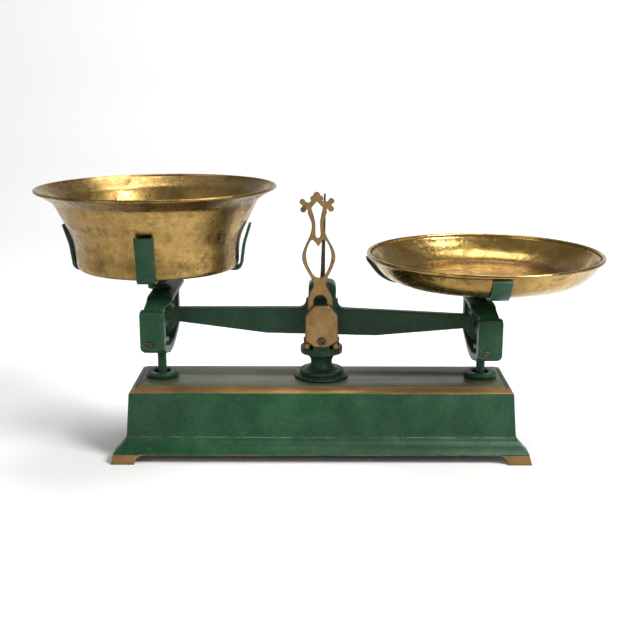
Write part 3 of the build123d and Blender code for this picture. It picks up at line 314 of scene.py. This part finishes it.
def spun_brass(name, tones, polish, pits):
    """Hand-spun brass sheet: turning marks, brown patina, stains, pits and rubbed bright patches."""
    s = Shader(name)
    light, middle, brown = tones
    x, y, z = s.parts(s.place)
    angle = s.math("ARCTAN2", y, x)
    radius = s.math("SQRT", s.math("ADD", s.times(x, x), s.times(y, y)))
    profile = s.math("ADD", radius, z)
    turned = s.add("ShaderNodeCombineXYZ", {0: s.times(angle, 0.05), 1: s.times(profile, 6.0), 2: 0.0})
    marks = s.noise(300, 3, 0.6, turned.outputs[0])
    rings = s.noise(45, 2, 0.5, turned.outputs[0])
    cloud = s.ramp(s.noise(16, 6, 0.6, warp=0.6), 0.36, 0.64)
    stain = s.ramp(s.noise(34, 7, 0.66, warp=1.0), 0.50, 0.66)
    fine = s.noise(150, 6, 0.7)
    color = s.mix(cloud, middle, light)
    color = s.mix(s.times(stain, 0.62), color, brown)
    color = s.mix(s.times(s.ramp(fine, 0.42, 0.70), 0.38), color, brown)
    color = s.mix(s.times(s.ramp(rings, 0.50, 0.72), 0.22), color, brown)
    worn = s.ramp(s.noise(22, 4, 0.5, s.stretched((1, 1, 1.6))), 0.50, 0.66)
    color = s.mix(s.times(worn, 0.40), color, light)
    large_spots = s.times(s.ramp(s.cells(165), 0.17, 0.05), s.ramp(s.noise(30, 3), 0.53, 0.60))
    small_spots = s.times(s.ramp(s.cells(420), 0.22, 0.08), s.ramp(s.noise(26, 4), 0.50, 0.60), 0.8)
    spots = s.times(s.most(large_spots, small_spots), pits)
    color = s.mix(s.times(spots, 0.85), color, PIT)
    color = s.mix(s.times(s.hollows(0.004), 0.7), color, BRASS_GRIME)
    slanted = s.add(
        "ShaderNodeMapping", {"Vector": s.place, "Rotation": SCRATCH_TURN, "Scale": SCRATCH_SCALE})
    scratches = s.ramp(s.noise(9, 2, 0.5, slanted.outputs["Vector"]), 0.66, 0.72)
    rough = s.blend(s.ramp(fine, 0.3, 0.7), polish, polish + 0.20)
    rough = s.blend(stain, rough, polish + 0.24)
    rough = s.blend(s.times(scratches, 0.5), rough, polish + 0.22)
    s.bumps(
        (s.noise(48, 3), 0.0006), (marks, 0.00003), (s.noise(260, 4), 0.00005), (spots, -0.00012),
        (scratches, -0.00003))
    return s.set(Base_Color=color, Roughness=rough, Metallic=1.0)


def steel(name, tones, rough_low, rough_high, metallic):
    """Bare steel with grey oxide and a little rust."""
    s = Shader(name)
    color, dark = tones
    base = s.mix(s.ramp(s.noise(140, 5), 0.35, 0.65), color, dark)
    rust = s.ramp(s.noise(210, 6, 0.7), 0.58, 0.68)
    base = s.mix(s.times(rust, 0.45), base, RUST)
    base = s.mix(s.times(s.hollows(0.003), 0.8), base, GRIME)
    s.bumps((s.noise(320, 4), 0.00005), (rust, 0.00004))
    rough = s.blend(s.noise(180, 5), rough_low, rough_high)
    return s.set(Base_Color=base, Roughness=rough, Metallic=metallic)


# the numbers below 1 darken copies of the enamel: partly darker paint, partly painted shade, most on the
# beam, bracket and column
ENAMEL = enamel("green_enamel", 0.85)
BEAM_ENAMEL = enamel("beam_enamel", 0.55, dense=True)
CARRIER_ENAMEL = enamel("carrier_enamel", 0.8, dense=True)
BASE_ENAMEL = enamel("base_enamel", 1.0, base_paint)
OLD_BRONZE = old_bronze("old_bronze")
FRAME_BRONZE = old_bronze("frame_bronze", dense=True)
BOWL_BRASS = spun_brass("bowl_brass", BOWL_TONES, 0.20, 1.0)
PAN_BRASS = spun_brass("pan_brass", PAN_TONES, 0.11, 0.5)
SCREW_BRASS = old_bronze("screw_brass")
BARE_STEEL = steel("bare_steel", GREY_STEEL, 0.32, 0.55, 0.9)
RUSTY_STEEL = steel("rusty_steel", BROWN_STEEL, 0.36, 0.60, 0.7)
DARK_STEEL = steel("dark_steel", BLACK_STEEL, 0.34, 0.55, 0.7)

SLOT_FINISH = {
    "green_iron": ENAMEL, "green_steel": ENAMEL, "gold_brass": OLD_BRONZE, "pan_brass": SCREW_BRASS,
    "bare_steel": BARE_STEEL, "dark_steel": DARK_STEEL,
}
# nodes that are darker, rustier or brighter than the rest of their slot, by the ends of their names
OWN_FINISH = {
    "beam_casting": BEAM_ENAMEL, "bearing_bracket": BEAM_ENAMEL, "column": BEAM_ENAMEL,
    "stirrup": CARRIER_ENAMEL, "cross_post": CARRIER_ENAMEL, "base_casting": BASE_ENAMEL,
    "pointer_frame": FRAME_BRONZE, "left_bowl": BOWL_BRASS, "right_pan": PAN_BRASS,
    "cover_screws": RUSTY_STEEL, "plate_screws": RUSTY_STEEL,
}


def finish_of(name):
    """A node's own finish, or else its slot's."""
    for ending, finish in OWN_FINISH.items():
        if name.endswith(ending):
            return finish
    return SLOT_FINISH[slot_of[name]]


for node_name, node in nodes.items():
    node.data.materials.clear()
    node.data.materials.append(finish_of(node_name))


# ---- softened pieces --------------------------------------------------------------------------------------

WELD = 2e-6
FLAT_ANGLE = math.radians(1)  # faces nearer than this to one plane are joined
CORNER_ANGLE = math.radians(28)  # edges sharper than this are rounded
SHADE_ANGLE = math.radians(40)  # edges sharper than this stay crisp after rounding
ROUNDING_SEGMENTS = 3
LARGE_LUMPS, SMALL_LUMPS = 55, 140  # how many there are to a metre in a casting's skin


def apply_modifiers(piece):
    """Works the piece's modifiers into its mesh."""
    bpy.context.view_layer.update()
    graph = bpy.context.evaluated_depsgraph_get()
    mesh = bpy.data.meshes.new_from_object(piece.evaluated_get(graph))
    old = piece.data
    piece.modifiers.clear()
    piece.data = mesh
    bpy.data.meshes.remove(old)


def stand_in(piece, name):
    """The piece takes the place of a CAD node: its body and its finish."""
    piece.data.materials.clear()
    piece.data.materials.append(finish_of(name))
    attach(piece, body_of[name])
    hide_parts(name)


def copied(name):
    """A welded copy of a CAD node's mesh, with flat faces joined up."""
    mesh = nodes[name].data.copy()
    work = bmesh.new()
    work.from_mesh(mesh)
    bmesh.ops.remove_doubles(work, verts=work.verts, dist=WELD)
    bmesh.ops.dissolve_limit(work, angle_limit=FLAT_ANGLE, verts=work.verts, edges=work.edges)
    work.to_mesh(mesh)
    work.free()
    piece = bpy.data.objects.new(name + "_soft", mesh)
    collection.objects.link(piece)
    return piece


def rounded(name, width):
    """Real rounded edges on a machined or cast piece."""
    piece = copied(name)
    piece.data.shade_smooth()
    piece.data.set_sharp_from_angle(angle=CORNER_ANGLE)
    bevel = piece.modifiers.new("rounding", "BEVEL")
    bevel.width = width
    bevel.segments = ROUNDING_SEGMENTS
    bevel.limit_method = "ANGLE"
    bevel.angle_limit = CORNER_ANGLE
    bevel.harden_normals = True
    apply_modifiers(piece)
    piece.data.shade_smooth()
    piece.data.set_sharp_from_angle(angle=SHADE_ANGLE)
    stand_in(piece, name)


def cast(name, grain, passes, wander):
    """A casting with soft edges and filled corners under thick paint, and a slightly uneven skin."""
    piece = copied(name)
    remesh = piece.modifiers.new("skin", "REMESH")
    remesh.mode = "VOXEL"
    remesh.voxel_size = grain
    smooth = piece.modifiers.new("paint", "SMOOTH")
    smooth.factor = 0.5
    smooth.iterations = passes
    apply_modifiers(piece)
    moved = []
    for vertex in piece.data.vertices:
        uneven = noise.noise(vertex.co * LARGE_LUMPS) + 0.5 * noise.noise(vertex.co * SMALL_LUMPS)
        moved.extend(vertex.co - vertex.normal * wander * (0.75 + uneven * 0.5))
    piece.data.vertices.foreach_set("co", moved)
    piece.data.update()
    piece.data.shade_smooth()
    stand_in(piece, name)


# radius of the rounded edges, in millimetres
ROUNDINGS = {
    "base_casting": 0.8, "left_collar": 0.7, "right_collar": 0.7, "column": 0.5,
    "front_centre_plate": 0.35, "back_centre_plate": 0.35,
    "left_front_cover": 0.55, "left_back_cover": 0.55, "right_front_cover": 0.55, "right_back_cover": 0.55,
    "left_cross_long": 0.7, "left_cross_short": 0.7, "right_cross_long": 0.7, "right_cross_short": 0.7,
    "left_cross_post": 0.6, "right_cross_post": 0.6, "left_stem": 0.4, "right_stem": 0.4,
    "pointer_needle": 0.3,
}
# mesh size in millimetres, smoothing passes, and unevenness in millimetres
CASTINGS = {
    "beam_casting": (0.75, 3, 0.06), "left_stirrup": (0.65, 3, 0.06), "right_stirrup": (0.65, 3, 0.06),
    "bearing_bracket": (0.6, 2, 0.05), "pointer_frame": (0.38, 4, 0.04),
}
for node_name, rounding in ROUNDINGS.items():
    rounded(node_name, rounding * MM)
for node_name, (node_grain, node_passes, node_wander) in CASTINGS.items():
    cast(node_name, node_grain * MM, node_passes, node_wander * MM)


# ---- spun dishes ------------------------------------------------------------------------------------------

TURNS = 256  # facets round a dish
PROFILE_STEP = 1.6
RIM_ARC = math.radians(300)  # how far the wired rim wraps round its wire
RIM_STEPS = 16


def smooth_path(points, step):
    """Points spaced about a step apart on a soft curve through the given ones."""
    path = []
    last = len(points) - 1
    for index in range(last):
        a, b, c, d = (points[min(max(index + offset, 0), last)] for offset in (-1, 0, 1, 2))
        count = max(1, round(math.dist(b, c) / step))
        for part in range(count):
            t = part / count
            path.append(tuple(
                0.5 * (2 * b[k] + (c[k] - a[k]) * t + (2 * a[k] - 5 * b[k] + 4 * c[k] - d[k]) * t * t
                       + (3 * b[k] - a[k] - 3 * c[k] + d[k]) * t ** 3) for k in (0, 1)))
    return path + [points[-1]]


def sheet_profile(points, wall, bead):
    """Outside of a dish from the axis to the rim, round the wired rim, and back along the inside."""
    outer = smooth_path(points, PROFILE_STEP)
    inner = []
    for before, point, after in zip([outer[0]] + outer, outer, outer[1:] + [outer[-1]]):
        run, rise = after[0] - before[0], after[1] - before[1]
        length = math.hypot(run, rise)
        inner.append((point[0] - rise / length * wall, point[1] + run / length * wall))
    inner[0] = (0.0, outer[0][1] + wall)
    rim = outer[-1]
    heading = math.atan2(rim[1] - outer[-2][1], rim[0] - outer[-2][0])
    middle = (rim[0] - math.sin(heading) * wall / 2, rim[1] + math.cos(heading) * wall / 2)
    wire = []
    for part in range(RIM_STEPS + 1):
        angle = heading - RIM_ARC / 2 + RIM_ARC * part / RIM_STEPS
        wire.append((middle[0] + bead * math.cos(angle), middle[1] + bead * math.sin(angle)))
    keep = [math.dist(point, rim) > bead * 1.05 for point in outer]
    outside = [point for point, kept in zip(outer, keep) if kept]
    inside = [point for point, kept in zip(inner, keep) if kept]
    return outside + wire + inside[::-1]


def lathe(name, profile, place, shape):
    """Turns a closed profile into a dish. shape gives each point's small departure from true."""
    work = bmesh.new()
    rings = []
    for radius, height in profile:
        if radius < 1e-6:
            rings.append([work.verts.new((0, 0, height * MM))])
            continue
        ring = []
        for part in range(TURNS):
            angle = 2 * math.pi * part / TURNS
            r, z = shape(radius, height, angle)
            ring.append(work.verts.new((r * math.cos(angle) * MM, r * math.sin(angle) * MM, z * MM)))
        rings.append(ring)
    for low, high in zip(rings, rings[1:]):
        for part in range(TURNS):
            beyond = (part + 1) % TURNS
            corners = [low[part % len(low)], low[beyond % len(low)]]
            corners += [high[beyond % len(high)], high[part % len(high)]]
            work.faces.new(list(dict.fromkeys(corners)))
    bmesh.ops.recalc_face_normals(work, faces=work.faces)
    mesh = bpy.data.meshes.new(name)
    work.to_mesh(mesh)
    work.free()
    mesh.shade_smooth()
    piece = bpy.data.objects.new(name + "_spun", mesh)
    piece.location = place * MM
    collection.objects.link(piece)
    stand_in(piece, name)


# outsides of the dishes, radius and height with the beam level
BOWL_FLOOR = 167.1
BOWL_RIM = 239.4
BOWL_POINTS = [
    (0, BOWL_FLOOR), (30, BOWL_FLOOR), (60, BOWL_FLOOR), (68.0, 167.12), (71.2, 168.3), (72.75, 171.4),
    (73.1, 177), (73.3, 183), (74.1, 190), (75.9, 197), (78.6, 203.3), (82.0, 210.0), (86.6, 219.2),
    (90.1, 226.2), (91.9, 229.0), (94.4, 231.0), (98.5, 233.7), (103.0, 236.7), (106.6, 239.1),
]
BOWL_WALL = 1.0
BOWL_BEAD = 1.45


def bowl_shape(radius, height, angle):
    """The rim stands a little low at the left and the back, and the wall is slightly dented."""
    share = max(0.0, (height - BOWL_FLOOR) / (BOWL_RIM - BOWL_FLOOR))
    spot = Vector((math.cos(angle), math.sin(angle), height / 60))
    drop = -1.15 + 0.95 * math.cos(angle) - 0.85 * math.sin(angle)
    wave = 0.22 * math.cos(2 * angle + 0.8) - 0.30
    dent = -0.30 * abs(noise.noise(spot * 2.6)) - 0.12 * abs(noise.noise(spot * 7.0))
    return radius + (wave + dent) * share ** 0.7, height + min(drop, -0.12) * share ** 1.6 + 0.10 * dent


PAN_FLOOR = 162.1
PAN_RIM = 185.3
PAN_POINTS = [
    (0, PAN_FLOOR), (35, PAN_FLOOR), (70, PAN_FLOOR), (76.5, 162.12), (81.0, 162.75), (85.8, 164.4),
    (90.5, 167.0), (94.8, 170.4), (98.4, 174.3), (101.8, 179.0), (104.4, 182.4), (106.2, 184.9),
]
PAN_WALL = 1.35
PAN_BEAD = 1.75


def pan_shape(radius, height, angle):
    """Slightly out of round, with a faintly sunk floor."""
    share = max(0.0, (height - PAN_FLOOR) / (PAN_RIM - PAN_FLOOR))
    spot = Vector((math.cos(angle), math.sin(angle), radius / 60))
    wave = 0.15 * math.cos(2 * angle + 2.1) - 0.2 - 0.15 * abs(noise.noise(spot * 3.0))
    return radius + wave * min(1.0, share + 0.05), height + 0.05 * noise.noise(spot * 2.2) * (1 - share)


lathe("left_bowl", sheet_profile(BOWL_POINTS, BOWL_WALL, BOWL_BEAD), carrier_place(-1), bowl_shape)
lathe("right_pan", sheet_profile(PAN_POINTS, PAN_WALL, PAN_BEAD), carrier_place(1), pan_shape)


# ---- floor, light and camera ------------------------------------------------------------------------------

FLOOR_HALF_WIDTH = 1.6
FLOOR_CURVE = [(-0.9, 0.0), (0.6, 0.0), (1.0, 0.03), (1.3, 0.13), (1.5, 0.3), (1.6, 0.55), (1.62, 0.8)]
SKY_LIGHT = 0.36
SKY_SEEN = 1.0


def backdrop():
    """Pale floor that curves up far behind the object."""
    work = bmesh.new()
    sides = (-FLOOR_HALF_WIDTH, FLOOR_HALF_WIDTH)
    rows = [[work.verts.new((x, y, z)) for x in sides] for y, z in FLOOR_CURVE]
    for low, high in zip(rows, rows[1:]):
        work.faces.new((low[0], low[1], high[1], high[0]))
    mesh = bpy.data.meshes.new("floor")
    work.to_mesh(mesh)
    work.free()
    mesh.shade_smooth()
    floor = bpy.data.objects.new("floor", mesh)
    collection.objects.link(floor)
    s = Shader("pale_floor")
    s.bumps((s.noise(40, 3), 0.0001))
    mesh.materials.append(s.set(Base_Color=WHITE, Roughness=0.75))


def lamp(name, place, target, width, height, power):
    """Soft white panel aimed at a point."""
    light = bpy.data.lights.new(name, "AREA")
    light.shape = "RECTANGLE"
    light.size = width
    light.size_y = height
    light.energy = power
    piece = bpy.data.objects.new(name, light)
    aim = Vector(target) - Vector(place)
    piece.matrix_world = Matrix.Translation(place) @ aim.to_track_quat("-Z", "Y").to_matrix().to_4x4()
    collection.objects.link(piece)


def sky():
    """Even white light all round, and a white that the camera sees behind the floor."""
    world = bpy.data.worlds.new("world")
    bpy.context.scene.world = world
    world.use_nodes = True
    tree = world.node_tree
    background = tree.nodes["Background"]
    background.inputs["Color"].default_value = (1, 1, 1, 1)
    seen = tree.nodes.new("ShaderNodeLightPath").outputs["Is Camera Ray"]
    strength = tree.nodes.new("ShaderNodeMapRange")
    strength.inputs["To Min"].default_value = SKY_LIGHT
    strength.inputs["To Max"].default_value = SKY_SEEN
    tree.links.new(seen, strength.inputs["Value"])
    tree.links.new(strength.outputs["Result"], background.inputs["Strength"])


backdrop()
lamp("key", (1.0, -0.75, 1.25), (0.05, 0.0, 0.12), 0.6, 0.6, 30)
lamp("fill", (-1.5, -1.3, 0.9), (0.0, 0.0, 0.12), 0.9, 0.9, 7)
lamp("top", (0.2, 0.25, 1.6), (0.0, 0.0, 0.1), 1.0, 0.7, 16)
sky()
bpy.context.scene.view_settings.view_transform = "Standard"

CAMERA_PLACE = Vector((-0.0014, -0.9644, 0.3585))
CAMERA_PITCH = math.radians(13.90)
CAMERA_ROLL = math.radians(0.11)
CAMERA_LENS = 60.67
SENSOR_WIDTH = 36.0
camera_data = bpy.data.cameras.new("camera")
camera_data.lens = CAMERA_LENS
camera_data.sensor_width = SENSOR_WIDTH
camera = bpy.data.objects.new("camera", camera_data)
turn = Matrix.Rotation(math.radians(90) - CAMERA_PITCH, 4, "X") @ Matrix.Rotation(CAMERA_ROLL, 4, "Z")
camera.matrix_world = Matrix.Translation(CAMERA_PLACE) @ turn
collection.objects.link(camera)
bpy.context.scene.camera = camera
